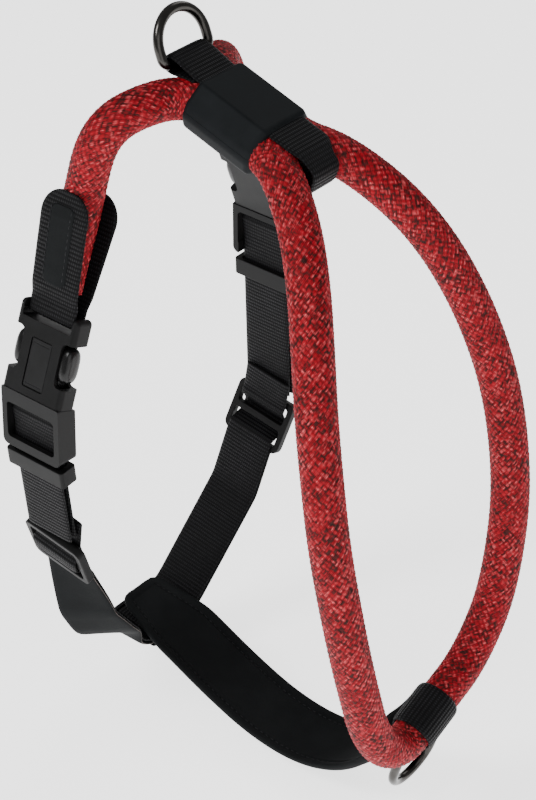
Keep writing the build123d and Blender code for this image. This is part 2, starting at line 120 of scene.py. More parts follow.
PAD_LINE = [
    (-66.0, -256.0), (-38.0, -267.0), (-10.0, -280.0), (18.0, -289.5),
    (46.0, -290.5), (70.0, -281.0), (87.0, -264.0), (90.5, -247.0), (90.5, -239.5),
]
PAD_WIDTH = 36.0
PAD_END_WIDTH = 25.0
PAD_TAPER = 34.0
PAD_SEAM = 4.6
PAD_CURL = 0.010
PAD_COLUMNS = 84

RIGHT_GIRTH = [(-38.5, -41.5, 1.0), (-33.0, -36.5, 12.0), (-27.5, -26.0, 16.3), (-22.5, -14.0, 17.0)]
RIGHT_NECK = [
    (35.0, -15.0, 2.0), (51.0, -24.5, -10.5), (63.0, -34.0, -26.5), (72.5, -43.0, -47.0),
    (80.5, -50.5, -69.5), (88.0, -55.8, -93.5), (94.0, -58.5, -119.0), (99.0, -57.5, -146.0),
    (102.0, -54.0, -172.0), (103.0, -48.5, -195.0), (103.0, -42.0, -217.0),
]
CHEST = [
    (103.0, -32.0, -235.0), (103.0, -20.0, -243.0), (103.0, -10.5, -241.0), (103.0, 11.0, -232.5),
    (103.0, 23.5, -228.0), (102.5, 36.0, -218.5), (102.5, 46.0, -203.5), (102.0, 52.0, -183.0),
]
LEFT_NECK = [
    (100.5, 56.5, -158.0), (96.5, 58.5, -132.0), (91.0, 57.5, -105.0), (84.5, 53.5, -81.0),
    (76.5, 47.0, -57.0), (67.0, 38.0, -34.0), (54.5, 27.5, -14.5), (37.0, 16.0, 1.0),
]
LEFT_GIRTH = [(-22.0, 13.0, 17.2), (-28.5, 20.5, 17.0), (-36.0, 29.5, 13.5), (-41.5, 38.5, 5.0)]
BLOCK_REAR = -18.0
BLOCK_FRONT = 19.0

# Camera, set from the way the neck loop and the girth overlap
CAMERA_AZIMUTH = radians(40.0)
CAMERA_ELEVATION = radians(34.0)
CAMERA_DISTANCE = 950.0
CAMERA_TARGET = Vector((14.5, 0.0, -115.4))
CAMERA_LENS = 103.0
CAMERA_SENSOR = 36.0
FLOOR_GLOW = 2.0
WORLD_LIGHT = 0.36
LIGHTS_AIM = (0.02, 0, -0.12)


# ---------------------------------------------------------------- places
def in_block(u, v, w):
    """A point of the tipped block's frame."""
    return Vector((u * cos(BLOCK_TILT) + w * sin(BLOCK_TILT), v, -u * sin(BLOCK_TILT) + w * cos(BLOCK_TILT)))


def girth_matrix(side, place, tilt):
    """A frame on the girth: X forward, Y down the strap and Z outward, mirrored on the right."""
    sign = SIDE_SIGN[side]
    outward, height = place
    down = (0, sign * sin(tilt), -cos(tilt))
    out = (0, sign * cos(tilt), sin(tilt))
    return Matrix(((1, down[0], out[0], GIRTH_X), (0, down[1], out[1], sign * outward),
                   (0, down[2], out[2], height), (0, 0, 0, 1)))


def buckle_matrix(side):
    return girth_matrix(side, BUCKLE_JOINT[side], BUCKLE_TILT[side])


def plug_matrix(side):
    """The plug's frame is bent inward at the joint."""
    return girth_matrix(side, BUCKLE_JOINT[side], BUCKLE_TILT[side] - PLUG_BEND)


def belly_point(side, out, down, forward=0.0):
    """A point of the sloping plane of the lower girth."""
    x = GIRTH_X - down * sin(BELLY_TILT) + forward * cos(BELLY_TILT)
    z = BELLY_TOP - down * cos(BELLY_TILT) - forward * sin(BELLY_TILT)
    return Vector((x, SIDE_SIGN[side] * out, z))


def on_glide(down, outward):
    """A point of the slider's flat frame, as (out, down) in the belly plane."""
    x = GLIDE_AT[0] - down * sin(GLIDE_TILT) + outward * cos(GLIDE_TILT)
    y = GLIDE_AT[1] + down * cos(GLIDE_TILT) + outward * sin(GLIDE_TILT)
    return x, y


def glide_matrix(side):
    middle = belly_point(side, *GLIDE_AT)
    down = belly_point(side, *on_glide(1, 0)) - middle
    out = belly_point(side, *on_glide(0, 1)) - middle
    forward = belly_point(side, *GLIDE_AT, 1.0) - middle
    rows = [[forward[i], down[i], out[i], middle[i]] for i in range(3)]
    return Matrix(rows + [[0, 0, 0, 1]])


# ---------------------------------------------------------------- meshes
def linked(name, data):
    """A new object in the scene."""
    made = bpy.data.objects.new(name, data)
    bpy.context.scene.collection.objects.link(made)
    return made


def mesh_from(name, shape):
    """A mesh from a bmesh, which is let go."""
    mesh = bpy.data.meshes.new(name)
    shape.to_mesh(mesh)
    shape.free()
    return mesh


def made_mesh(holder):
    """The mesh that an object's curve or modifiers make."""
    bpy.context.view_layer.update()
    return bpy.data.meshes.new_from_object(holder.evaluated_get(bpy.context.evaluated_depsgraph_get()))


def both(reach):
    """The same reach on either side of zero."""
    return -reach, reach


def finish_object(name, mesh, material):
    """An object from a mesh in millimetres, with its faces turned outward. material is a key of MATERIALS."""
    mesh.transform(Matrix.Scale(MM, 4))
    shape = bmesh.new()
    shape.from_mesh(mesh)
    bmesh.ops.recalc_face_normals(shape, faces=shape.faces)
    shape.to_mesh(mesh)
    shape.free()
    mesh.polygons.foreach_set("use_smooth", [True] * len(mesh.polygons))
    mesh.materials.clear()
    mesh.materials.append(MATERIALS[material])
    mesh.validate()
    return linked(name, mesh)


def place(piece, body, slot, *nodes):
    """Says what a piece rides on and stands for; slot, which would say what it is made of, is not used."""
    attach(piece, body)
    if nodes:
        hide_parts(*nodes)
    return piece


def grid_mesh(name, rings, maps=None):
    """A mesh from closed rings of points, capped at both ends. maps holds two numbers for each point."""
    count, around = rings.shape[:2]
    start = np.arange(count - 1)[:, None] * around
    step = np.arange(around)[None, :]
    ahead = (step + 1) % around
    quads = np.stack([start + step, start + ahead, start + around + ahead, start + around + step], axis=-1)
    faces = [tuple(q) for q in quads.reshape(-1, 4).tolist()]
    faces.append(tuple(range(around))[::-1])
    faces.append(tuple(range((count - 1) * around, count * around)))
    mesh = bpy.data.meshes.new(name)
    mesh.from_pydata(rings.reshape(-1, 3).tolist(), [], faces)
    if maps is not None:
        layer = mesh.uv_layers.new(name="weave")
        corners = np.empty(len(mesh.loops), dtype=np.int32)
        mesh.loops.foreach_get("vertex_index", corners)
        layer.data.foreach_set("uv", maps.reshape(-1, 2)[corners].astype(np.float32).ravel())
    return mesh


def arc_points(before, corner, after, radius, step):
    """The tangent arc at one corner, as points."""
    first = (before - corner).normalized()
    second = (after - corner).normalized()
    opening = acos(max(-1.0, min(1.0, first.dot(second))))
    turn = pi - opening
    if turn < 1e-3:
        return [corner]
    reach = radius * tan(turn / 2)
    centre = corner + (first + second).normalized() * (radius / cos(turn / 2))
    start = corner + first * reach - centre
    count = max(3, int(radius * turn / step))
    axis = (second.cross(first)).normalized()
    return [centre + Matrix.Rotation(turn * i / count, 3, axis) @ start for i in range(count + 1)]


def rounded_line(points, radii, step=0.35):
    """Straight runs joined by tangent arcs, sampled evenly."""
    points = [Vector(p) for p in points]
    line = [points[0]]
    for i, radius in enumerate(radii):
        line += arc_points(points[i], points[i + 1], points[i + 2], radius, step)
    line.append(points[-1])
    return even(np.array([tuple(p) for p in line]), step)


def distances(points):
    """How far along a line each of its points is."""
    return np.concatenate([[0], np.cumsum(np.linalg.norm(np.diff(points, axis=0), axis=1))])


def even(points, step):
    """The same line with evenly spaced points."""
    gaps = np.linalg.norm(np.diff(points, axis=0), axis=1)
    points = points[np.concatenate([[True], gaps > 1e-6])]
    along = distances(points)
    places = np.linspace(0, along[-1], max(4, int(along[-1] / step)))
    return np.stack([np.interp(places, along, points[:, i]) for i in range(3)], axis=1)


def nurbs_line(name, points, resolution):
    """Points read from the smooth NURBS line that has these control points."""
    curve = bpy.data.curves.new(name, "CURVE")
    curve.dimensions = "3D"
    curve.resolution_u = resolution
    spline = curve.splines.new("NURBS")
    spline.points.add(len(points) - 1)
    for point, place_at in zip(spline.points, points):
        point.co = (*place_at, 1.0)
    spline.order_u = 3
    spline.use_endpoint_u = True
    holder = linked(name, curve)
    line = np.array([tuple(vert.co) for vert in made_mesh(holder).vertices])
    bpy.data.objects.remove(holder, do_unlink=True)
    return line


def unit(vectors):
    return vectors / np.linalg.norm(vectors, axis=-1, keepdims=True)


def eased(part):
    """0 to 1 with a level start and end."""
    return part * part * (3 - 2 * part)


def cornered(half, distance, radius):
    """A half width with its corner rounded at distance 0."""
    inside = np.clip(distance / radius, 0, 1)
    return half - radius * (1 - np.sqrt(1 - (1 - inside) ** 2))


def ribbon(name, centre, across, material="webbing", width=WEBBING, thickness=WEBBING_THICKNESS,
           ribs=RIB_HEIGHT, ends=0.0, half_width=None, columns=30):
    """Woven webbing along a line: ribs across it, rolled edges and, with ends, rounded corners."""
    along = distances(centre)
    total = along[-1]
    tangent = unit(np.gradient(centre, axis=0))
    across = np.broadcast_to(np.asarray(across, float), centre.shape)
    across = unit(across - tangent * np.sum(across * tangent, axis=1, keepdims=True))
    normal = np.cross(tangent, across)
    half = np.full(len(along), width / 2) if half_width is None else half_width
    if ends:
        half = cornered(cornered(half, along, ends), total - along, ends)
    phase = along / RIB_PITCH * pi
    rib = ribs * np.abs(np.sin(phase))
    t = np.linspace(-1, 1, columns)
    roll = np.sqrt(np.clip(1 - np.abs(t) ** 9, 0.04, 1))
    thread = THREAD_HEIGHT * np.cos(t[None, :] * pi * columns / 3.1 + (phase[:, None] // pi) * pi)
    relief = rib[:, None] + thread * (ribs > 0)
    profile = (thickness / 2 - ribs / 2) * roll[None, :] + relief * roll[None, :]
    side = half[:, None] * t[None, :]
    middle = centre[:, None] + across[:, None] * side[..., None]
    proud = normal[:, None] * profile[..., None]
    rings = np.concatenate([middle + proud, (middle - proud)[:, ::-1]], axis=1)
    u = np.concatenate([side, side[:, ::-1]], axis=1)
    v = np.broadcast_to(along[:, None], u.shape)
    mesh = grid_mesh(name, rings, maps=np.stack([u, v], axis=-1))
    return finish_object(name, mesh, material)


def closed_wire(name, centre, radius):
    """A round wire bent into a flat closed ring."""
    tangent = unit(np.roll(centre, -1, axis=0) - np.roll(centre, 1, axis=0))
    plane = unit(np.linalg.svd(centre - centre.mean(axis=0))[2][2][None, :])
    flat = np.broadcast_to(plane, tangent.shape)
    other = np.cross(tangent, flat)
    angle = np.linspace(0, 2 * pi, 24, endpoint=False)
    rings = (centre[:, None] + radius * (np.cos(angle)[None, :, None] * flat[:, None]
             + np.sin(angle)[None, :, None] * other[:, None]))
    mesh = grid_mesh(name, np.concatenate([rings, rings[:1]], axis=0))
    shape = bmesh.new()
    shape.from_mesh(mesh)
    caps = [face for face in shape.faces if len(face.verts) > 4]
    bmesh.ops.delete(shape, geom=caps, context="FACES_ONLY")
    bmesh.ops.remove_doubles(shape, verts=shape.verts, dist=1e-4)
    shape.to_mesh(mesh)
    shape.free()
    return finish_object(name, mesh, "steel")


def block_of(x, y, z, round_by=0.8, segments=3, axis=None):
    """A box between two corners, with its edges rounded, or only those along one axis."""
    shape = bmesh.new()
    bmesh.ops.create_cube(shape, size=1.0)
    for vert in shape.verts:
        vert.co = Vector(((x[0] + x[1]) / 2 + vert.co.x * (x[1] - x[0]),
                          (y[0] + y[1]) / 2 + vert.co.y * (y[1] - y[0]),
                          (z[0] + z[1]) / 2 + vert.co.z * (z[1] - z[0])))
    if round_by:
        edges = shape.edges[:]
        if axis is not None:
            edges = [e for e in edges if abs((e.verts[0].co - e.verts[1].co).normalized()[axis]) > 0.9]
        bmesh.ops.bevel(shape, geom=edges, offset=round_by, segments=segments, affect="EDGES", profile=0.5)
    return mesh_from("block", shape)


def rod(radius, reach, y):
    """A round bar along X, reaching the same way on both sides."""
    shape = bmesh.new()
    turned = Matrix.Translation((0, y, 0)) @ Matrix.Rotation(pi / 2, 4, "Y")
    bmesh.ops.create_cone(shape, cap_ends=True, segments=28, radius1=radius, radius2=radius,
                          depth=2 * reach, matrix=turned)
    return mesh_from("rod", shape)


def carve(base, added=(), removed=(), bevel=0.35):
    """Joins and cuts solids, then softens the sharp edges that are left."""
    holder = linked("carving", base)
    tools = []
    for operation, meshes in (("UNION", added), ("DIFFERENCE", removed)):
        for mesh in meshes:
            tool = linked("tool", mesh)
            tools.append(tool)
            modifier = holder.modifiers.new(operation, "BOOLEAN")
            modifier.operation = operation
            modifier.object = tool
            modifier.solver = "EXACT"
    if bevel:
        modifier = holder.modifiers.new("soften", "BEVEL")
        modifier.width = bevel
        modifier.segments = 2
        modifier.limit_method = "ANGLE"
        modifier.angle_limit = radians(40)
        modifier.harden_normals = False
    result = made_mesh(holder)
    for item in tools + [holder]:
        bpy.data.objects.remove(item, do_unlink=True)
    return result


def moulded(name, mesh, matrix, body, node, material="plastic"):
    """Moves a shape made in a local frame to its place, as a moulded plastic piece."""
    mesh.transform(matrix)
    piece = finish_object(name, mesh, material)
    modifier = piece.modifiers.new("normals", "WEIGHTED_NORMAL")
    modifier.keep_sharp = True
    return place(piece, body, "buckle_black", node)


# ---------------------------------------------------------------- materials
class Shader:
    """A short way to write a node material."""

    def __init__(self, name, roughness=0.5, metallic=0.0, specular=0.5):
        self.material = bpy.data.materials.new(name)
        self.material.use_nodes = True
        self.tree = self.material.node_tree
        self.out = self.tree.nodes["Principled BSDF"]
        self.out.inputs["Roughness"].default_value = roughness
        self.out.inputs["Metallic"].default_value = metallic
        self.out.inputs["Specular IOR Level"].default_value = specular

    def node(self, kind, settings=None, **inputs):
        made = self.tree.nodes.new(kind)
        for key, value in (settings or {}).items():
            setattr(made, key, value)
        for key, value in inputs.items():
            socket = made.inputs[int(key[1:])] if key[0] == "i" and key[1:].isdigit() else made.inputs[key]
            if isinstance(value, bpy.types.NodeSocket):
                self.tree.links.new(value, socket)
            else:
                socket.default_value = value
        return made

    def link(self, source, target):
        self.tree.links.new(source, self.out.inputs[target])

    def noise(self, vector, scale, detail=3.0, roughness=0.5):
        return self.node("ShaderNodeTexNoise", Vector=vector, Scale=scale, Detail=detail,
                         Roughness=roughness).outputs["Fac"]

    def math(self, operation, a, b=0.0):
        return self.node("ShaderNodeMath", {"operation": operation}, i0=a, i1=b).outputs[0]

    def ramp(self, value, stops):
        made = self.node("ShaderNodeValToRGB", Fac=value)
        elements = made.color_ramp.elements
        while len(elements) < len(stops):
            elements.new(0.5)
        for element, (position, colour) in zip(elements, stops):
            element.position = position
            element.color = (*colour, 1.0)
        return made.outputs["Color"]

    def colour(self, value, *stops):
        """The base colour, from a value and the colours that it runs through."""
        self.link(self.ramp(value, stops), "Base Color")

    def spread(self, value, low, high):
        return self.node("ShaderNodeMapRange", Value=value, i3=low, i4=high).outputs[0]

    def bump(self, height, strength, distance):
        made = self.node("ShaderNodeBump", Height=height, Strength=strength, Distance=distance)
        self.link(made.outputs["Normal"], "Normal")

    def place(self):
        return self.node("ShaderNodeTexCoord").outputs["Object"]

    def weave(self):
        return self.node("ShaderNodeUVMap", {"uv_map": "weave"}).outputs["UV"]


def rope_material():
    """Red yarns with pale flecks; the yarn's tone, with painted shade in the gaps and painted highlights on
    the crests, is stored on the braid.
    """
    shader = Shader("rope_red", roughness=0.6, specular=0.14)
    tone = shader.node("ShaderNodeVertexColor", {"layer_name": "yarn"}).outputs["Color"]
    fibre = shader.noise(shader.place(), 2600.0, 2.0)
    flecks = shader.noise(shader.place(), 700.0, 3.0, 0.6)
    light = shader.node("ShaderNodeMix", {"data_type": "RGBA", "blend_type": "MULTIPLY"}, i0=0.75,
                        i6=tone, i7=shader.ramp(flecks, [(0.3, (0.7, 0.6, 0.6)), (0.7, (1.15, 1.1, 1.1))]))
    shader.link(light.outputs[2], "Base Color")
    shader.link(shader.spread(fibre, 0.5, 0.78), "Roughness")
    shader.bump(fibre, 0.35, 0.00025)
    return shader.material


def webbing_material():
    """Black weft-ribbed nylon: threads along each rib catch the light."""
    shader = Shader("webbing_black", roughness=0.6, specular=0.13)
    split = shader.node("ShaderNodeSeparateXYZ", Vector=shader.weave())
    across, along = split.outputs[0], split.outputs[1]
    shift = shader.math("MULTIPLY", shader.math("FLOOR", shader.math("DIVIDE", along, RIB_PITCH)), pi * 0.5)
    turn = shader.math("ADD", shader.math("MULTIPLY", across, 2 * pi / THREAD_PITCH), shift)
    thread = shader.math("SINE", turn)
    rib = shader.math("ABSOLUTE", shader.math("SINE", shader.math("MULTIPLY", along, pi / RIB_PITCH)))
    crest = shader.math("MULTIPLY", rib, shader.math("ADD", shader.math("MULTIPLY", thread, 0.35), 0.65))
    wear = shader.noise(shader.place(), 60.0, 4.0)
    # Painted highlight: the ribs' crests are coloured lighter, their strength varied at random by the wear
    # noise.
    tone = shader.math("MULTIPLY", crest, shader.spread(wear, 0.55, 1.3))
    shader.colour(tone, (0.3, (0.0015, 0.0015, 0.0018)), (0.8, (0.005, 0.005, 0.006)),
                  (1.0, (0.017, 0.017, 0.021)))
    shader.link(shader.spread(crest, 0.75, 0.45), "Roughness")
    shader.bump(crest, 0.7, 0.0003)
    return shader.material


def noise_material(name, tone, stops, grain=None, rough=None, bump=None, **surface):
    """A material coloured by one noise, with a finer one for its grain.

    tone and grain are a noise's scale, detail and roughness. rough and bump begin with the noise they follow.
    """
    shader = Shader(name, **surface)
    noises = {"tone": shader.noise(shader.place(), *tone)}
    if grain:
        noises["grain"] = shader.noise(shader.place(), *grain)
    shader.colour(noises["tone"], *stops)
    if rough:
        shader.link(shader.spread(noises[rough[0]], *rough[1:]), "Roughness")
    if bump:
        shader.bump(noises[bump[0]], *bump[1:])
    return shader.material


def plastic_material(name, low, high, rough_low, rough_high, specular=0.13):
    """Moulded acetal with a fine spark finish and rubbed patches."""
    return noise_material(name, (120.0, 4.0, 0.6), [(0.3, (low,) * 3), (0.8, (high, high, high * 1.05))],
                          (2400.0, 2.0), ("tone", rough_low, rough_high), ("grain", 0.15, 0.00008),
                          roughness=0.4, specular=specular)


MATERIALS = {
    "rope": rope_material(),
    "webbing": webbing_material(),
    # A smooth knitted face over foam
    "neoprene": noise_material(
        "neoprene_black", (45.0, 5.0, 0.6), [(0.25, (0.005, 0.0056, 0.006)), (0.8, (0.0105, 0.0115, 0.012))],
        (1400.0, 2.0), ("grain", 0.78, 0.95), ("grain", 0.3, 0.00015), roughness=0.9, specular=0.1),
    # The raw, lighter edge of the facing
    "edge": noise_material(
        "facing_edge", (900.0, 3.0), [(0.3, (0.07, 0.062, 0.058)), (0.75, (0.17, 0.15, 0.14))],
        bump=("tone", 0.5, 0.0002), roughness=0.9, specular=0.2),
    # Soft-touch moulded rubber
    "block": noise_material(
        "block_rubber", (90.0, 4.0, 0.6), [(0.3, (0.0045, 0.0055, 0.0062)), (0.8, (0.009, 0.0105, 0.0118))],
        (1800.0, 2.0), ("tone", 0.52, 0.7), ("grain", 0.18, 0.0001), roughness=0.72, specular=0.07),
    # Polished gunmetal wire with faint drawing lines
    "steel": noise_material(
        "ring_steel", (130.0, 3.0), [(0.3, (0.028, 0.026, 0.024)), (0.8, (0.075, 0.072, 0.068))],
        (500.0, 4.0, 0.7), ("grain", 0.14, 0.32), ("grain", 0.08, 0.0001), roughness=0.22, metallic=1.0),
    "thread": noise_material(
        "stitching_thread", (1500.0, 2.0), [(0.3, (0.008, 0.008, 0.009)), (0.8, (0.025, 0.025, 0.028))],
        roughness=0.6, specular=0.15),
    "filling": noise_material(
        "rope_filling", (300.0,), [(0.3, (0.3, 0.3, 0.28)), (0.8, (0.5, 0.5, 0.47))], roughness=0.8),
    "plastic": plastic_material("buckle_black", 0.003, 0.0065, 0.42, 0.6),
    "badge": plastic_material("badge_black", 0.007, 0.012, 0.45, 0.6),
    "latch": plastic_material("latch_black", 0.003, 0.006, 0.2, 0.32, 0.28),
}


# ---------------------------------------------------------------- rope
def rope_points():
    """The route's points, as in the CAD model, from the right girth end to the left one."""
    def end(side, above):
        return tuple(buckle_matrix(side) @ Vector((0, -ROPE_END_START[side] - above, 0)))
    right_block = [tuple(in_block(u, -ROPE_SPACING, ROPE_HEIGHT)) for u in (BLOCK_REAR, BLOCK_FRONT)]
    left_block = [tuple(in_block(u, ROPE_SPACING, ROPE_HEIGHT)) for u in (BLOCK_FRONT, BLOCK_REAR)]
    return ([end("right", 0), end("right", LAST_RUN)] + RIGHT_GIRTH + right_block + RIGHT_NECK + CHEST
            + LEFT_NECK + left_block + LEFT_GIRTH + [end("left", LAST_RUN), end("left", 0)])


def carried_frames(tangent):
    """Frames that don't twist along a line."""
    first = np.cross(tangent[0], (0.0, 0.0, 1.0))
    frames = [first / np.linalg.norm(first)]
    for direction in tangent[1:]:
        last = frames[-1] - direction * np.dot(frames[-1], direction)
        frames.append(last / np.linalg.norm(last))
    frames = np.array(frames)
    return frames, np.cross(tangent, frames)


BRAID_STRANDS = 20
BRAID_SLOPE = 1.12
YARNS = 3
YARN_RELIEF = 0.62
YARN_REPEAT = 3.1
YARN_DARKEST = (0.045, 0.010, 0.007)
YARN_MAROON = (0.11, 0.008, 0.009)
YARN_RED = (0.32, 0.001, 0.008)
YARN_BRIGHT = (0.46, 0.003, 0.016)
YARN_PALE = (0.66, 0.075, 0.085)
# Painted highlight: the pale colour that the crests of the lighter yarns are blended toward.
YARN_HIGHLIGHT = (0.9, 0.2, 0.2)
ROPE_STEP = 0.45
ROPE_AROUND = 116
END_PRESSED = 0.56
END_SPREAD = 0.18


def braid(angle, along):
    """Height, yarn and depth of a plain braid at each angle and length: bands of yarns, over and under."""
    cell = 2 * pi * ROPE_RADIUS / BRAID_STRANDS
    a = angle / (2 * pi) * BRAID_STRANDS + along / (cell * BRAID_SLOPE)
    b = angle / (2 * pi) * BRAID_STRANDS - along / (cell * BRAID_SLOPE)
    i, j = np.floor(a), np.floor(b)
    on_top = ((i + j) % 2) < 1
    over = np.where(on_top, a - i, b - j)
    run = np.where(on_top, b - j, a - i)
    swell = np.sqrt(np.clip(1 - (2 * over - 1) ** 2 * 0.94, 0, 1))
    ridge = np.abs(np.sin(over * pi * YARNS))
    height = YARN_RELIEF * swell * (0.45 + 0.55 * np.sin(pi * run)) * (0.55 + 0.45 * ridge)
    strand = np.where(on_top, i % BRAID_STRANDS, j % BRAID_STRANDS + BRAID_STRANDS)
    yarn = (strand * YARNS + np.floor(over * YARNS)).astype(int)
    # How deep each point lies in the weave; yarn_tones paints shade and highlights from it.
    depth = (0.4 + 0.6 * np.sin(pi * run) ** 0.7) * (0.3 + 0.7 * ridge) * swell
    return height, yarn, depth


def yarn_tones(yarn, along, depth):
    """Colour of each point: mostly red with many maroon-brown cells, painted highlights on the crests and
    painted shade in the gaps between yarns.
    """
    steps = int(along.max() / YARN_REPEAT) + 3
    table = RANDOM.random((2 * BRAID_STRANDS * YARNS, steps))
    place_at = along / YARN_REPEAT + (yarn % 3) / 3
    low = np.floor(place_at).astype(int)
    part = np.clip((place_at - low - 0.5) * 2.5 + 0.5, 0, 1)
    value = table[yarn, low] * (1 - part) + table[yarn, low + 1] * part
    colours = np.array([YARN_DARKEST, YARN_MAROON, YARN_RED, YARN_BRIGHT, YARN_PALE])
    marks = np.array([0.08, 0.24, 0.38, 0.74, 0.97])
    rgb = np.stack([np.interp(value, marks, colours[:, k]) for k in range(3)], axis=-1)
    # Painted highlight: the crests of the lighter yarns are blended toward a pale colour.
    crest = (np.clip((depth - 0.78) / 0.2, 0, 1) * np.clip((value - 0.45) * 2.6, 0, 1))[..., None]
    rgb = rgb * (1 - 0.55 * crest) + np.array(YARN_HIGHLIGHT) * 0.6 * crest
    # Painted shade: each point is darkened by how deep it lies in the weave, darkest in the gaps between
    # yarns.
    shade = np.clip(0.06 + 1.08 * depth, 0.06, 1.1)
    return rgb * shade[..., None]


def make_rope():
    """The braided jacket, with its two ends pressed flat between the layers of webbing."""
    ends = {}
    for side in ("right", "left"):
        matrix = buckle_matrix(side)
        stretch = [tuple(matrix @ Vector((0, -down, 0)))
                   for down in np.linspace(ROPE_END_START[side] - 1.0, ROPE_END_STOP + 1.0, 20)]
        ends[side] = np.array(stretch)
    route = nurbs_line("rope_route", rope_points(), 24)
    line = even(np.concatenate([ends["right"][::-1], route, ends["left"]]), ROPE_STEP)
    along = distances(line)
    tangent = unit(np.gradient(line, axis=0))
    first, second = carried_frames(tangent)
    angle = np.linspace(0, 2 * pi, ROPE_AROUND, endpoint=False)
    angles, places = np.meshgrid(angle, along)
    height, yarn, depth = braid(angles, places)
    radius = ROPE_RADIUS - YARN_RELIEF * 0.62 + height
    offset = (np.cos(angles)[..., None] * first[:, None] + np.sin(angles)[..., None] * second[:, None])
    offset = offset * radius[..., None]
    for side, distance in (("right", along), ("left", along[-1] - along)):
        out = np.array(tuple(buckle_matrix(side).to_3x3() @ Vector((0, 0, 1))))
        wide = np.array((1.0, 0.0, 0.0))
        length = ROPE_END_START[side] - ROPE_END_STOP
        part = eased(np.clip(1 - distance / length, 0, 1))[:, None, None]
        flat = np.sum(offset * out, axis=-1, keepdims=True)
        broad = np.sum(offset * wide, axis=-1, keepdims=True)
        offset = offset - out * flat * END_PRESSED * part + wide * broad * END_SPREAD * part
    mesh = grid_mesh("rope", line[:, None] + offset)
    colours = yarn_tones(yarn, places, depth).reshape(-1, 3)
    layer = mesh.color_attributes.new(name="yarn", type="FLOAT_COLOR", domain="POINT")
    layer.data.foreach_set("color", np.concatenate([colours, np.ones((len(colours), 1))], axis=1)
                           .astype(np.float32).ravel())
    piece = finish_object("rope", mesh, "rope")
    return place(piece, "harness", "rope_red", "rope_jacket", "right_rope_end", "left_rope_end")


# ---------------------------------------------------------------- back block
BLOCK_SIDE = ROPE_SPACING + ROPE_RADIUS + 2.2
BLOCK_OUTLINE = [
    (0, 0), (9.0, 0), (BLOCK_SIDE - 2.5, 3.0), (BLOCK_SIDE, ROPE_HEIGHT - 2.0),
    (BLOCK_SIDE - 0.8, ROPE_HEIGHT + 3.5), (12.0, BLOCK_HEIGHT), (0, BLOCK_HEIGHT),
]
BLOCK_CORNERS = [3.5, 4.5, 5.5, 5.0, 1.8]
BLOCK_END_ROUND = 2.6
BLOCK_PARTING = 0.06


def block_stations():
    """How far along the block each ring of points is, and how far it is drawn in there."""
    half = BLOCK_LENGTH / 2
    turns = np.linspace(0, pi / 2, 7)
    end = [(round(-half + BLOCK_END_ROUND * (1 - cos(a)), 4), round(BLOCK_END_ROUND * (1 - sin(a)), 4))
           for a in turns]
    middle = [(u, 0.0) for u in np.linspace(-half + 3, half - 3, 12)]
    return end + middle + [(-u, inset) for u, inset in reversed(end)]


def make_block_half(which, upper):
    """The cover or the base: a moulded shell with rounded ends and a fine step where they meet."""
    outline = rounded_line([(x, y, 0) for x, y in BLOCK_OUTLINE], BLOCK_CORNERS, 0.5)[:, :2]
    half = np.array([p for p in outline if (p[1] >= ROPE_HEIGHT) == upper])
    edge_y = ROPE_HEIGHT + (BLOCK_PARTING if upper else -BLOCK_PARTING)
    border = np.array([np.interp(ROPE_HEIGHT, outline[:, 1], outline[:, 0]), edge_y])
    half = np.vstack([border, half]) if upper else np.vstack([half, border])
    ring = np.vstack([half, half[::-1] * (-1, 1)])
    ring = ring[np.concatenate([[True], np.linalg.norm(np.diff(ring, axis=0), axis=1) > 0.02])]
    middle = np.array([0, BLOCK_HEIGHT / 2])
    limit = np.maximum if upper else np.minimum
    rings = []
    for u, inset in block_stations():
        away = ring - middle
        size = np.linalg.norm(away, axis=1, keepdims=True)
        shrunk = middle + away * (size - inset) / size
        shrunk[:, 1] = limit(shrunk[:, 1], edge_y)
        rings.append([tuple(in_block(u, v, w)) for v, w in shrunk])
    name = f"back_block_{which}_shell"
    piece = finish_object(name, grid_mesh(name, np.array(rings)), "block")
    piece.data.set_sharp_from_angle(angle=radians(38))
    return place(piece, "harness", "block_rubber", f"back_block_{which}")


def webbing_heights():
    """How high the webbing lies over the ropes and under them, from the block's underside."""
    away = ROPE_RADIUS + 0.15 + WEBBING_THICKNESS / 2
    return ROPE_HEIGHT + away, ROPE_HEIGHT - away


def make_back_webbing():
    """From the base, folded up at the crotch, over the ropes and round the top ring's bar."""
    half = BLOCK_LENGTH / 2
    top, bottom = webbing_heights()
    bar = WIRE_TO_WEBBING
    front = half + FOLD_REACH
    rear = half + RING_REACH
    high, low = top + RING_LIFT + bar, top + RING_LIFT - bar
    fold = [(-half + 3, bottom), (front + 1, bottom), (front + 9, bottom + 5), (front + 9, top - 5)]
    over = [(front, top), (-half - 2, top), (-rear + 4, high)]
    round_bar = [(-rear - bar, high), (-rear - bar, low), (-rear + 1.5, low), (-half - 3, top - 1.65)]
    line = rounded_line([tuple(in_block(u, 0, w)) for u, w in fold + over + round_bar],
                        [4.0, 4.5, 4.5, 5.0, 5.0, 5.0, bar - 0.05, bar - 0.05, 3.0], 0.3)
    ups = line[:, 0] * cos(BLOCK_TILT) - line[:, 2] * sin(BLOCK_TILT)
    pinch = eased(np.clip((ups - (front - 3)) / 9.0, 0, 1))
    piece = ribbon("back_webbing_strap", line, (0, 1, 0), columns=26,
                   half_width=BACK_WEBBING / 2 - FOLD_PINCH * pinch)
    return place(piece, "harness", "webbing_black", "back_webbing")


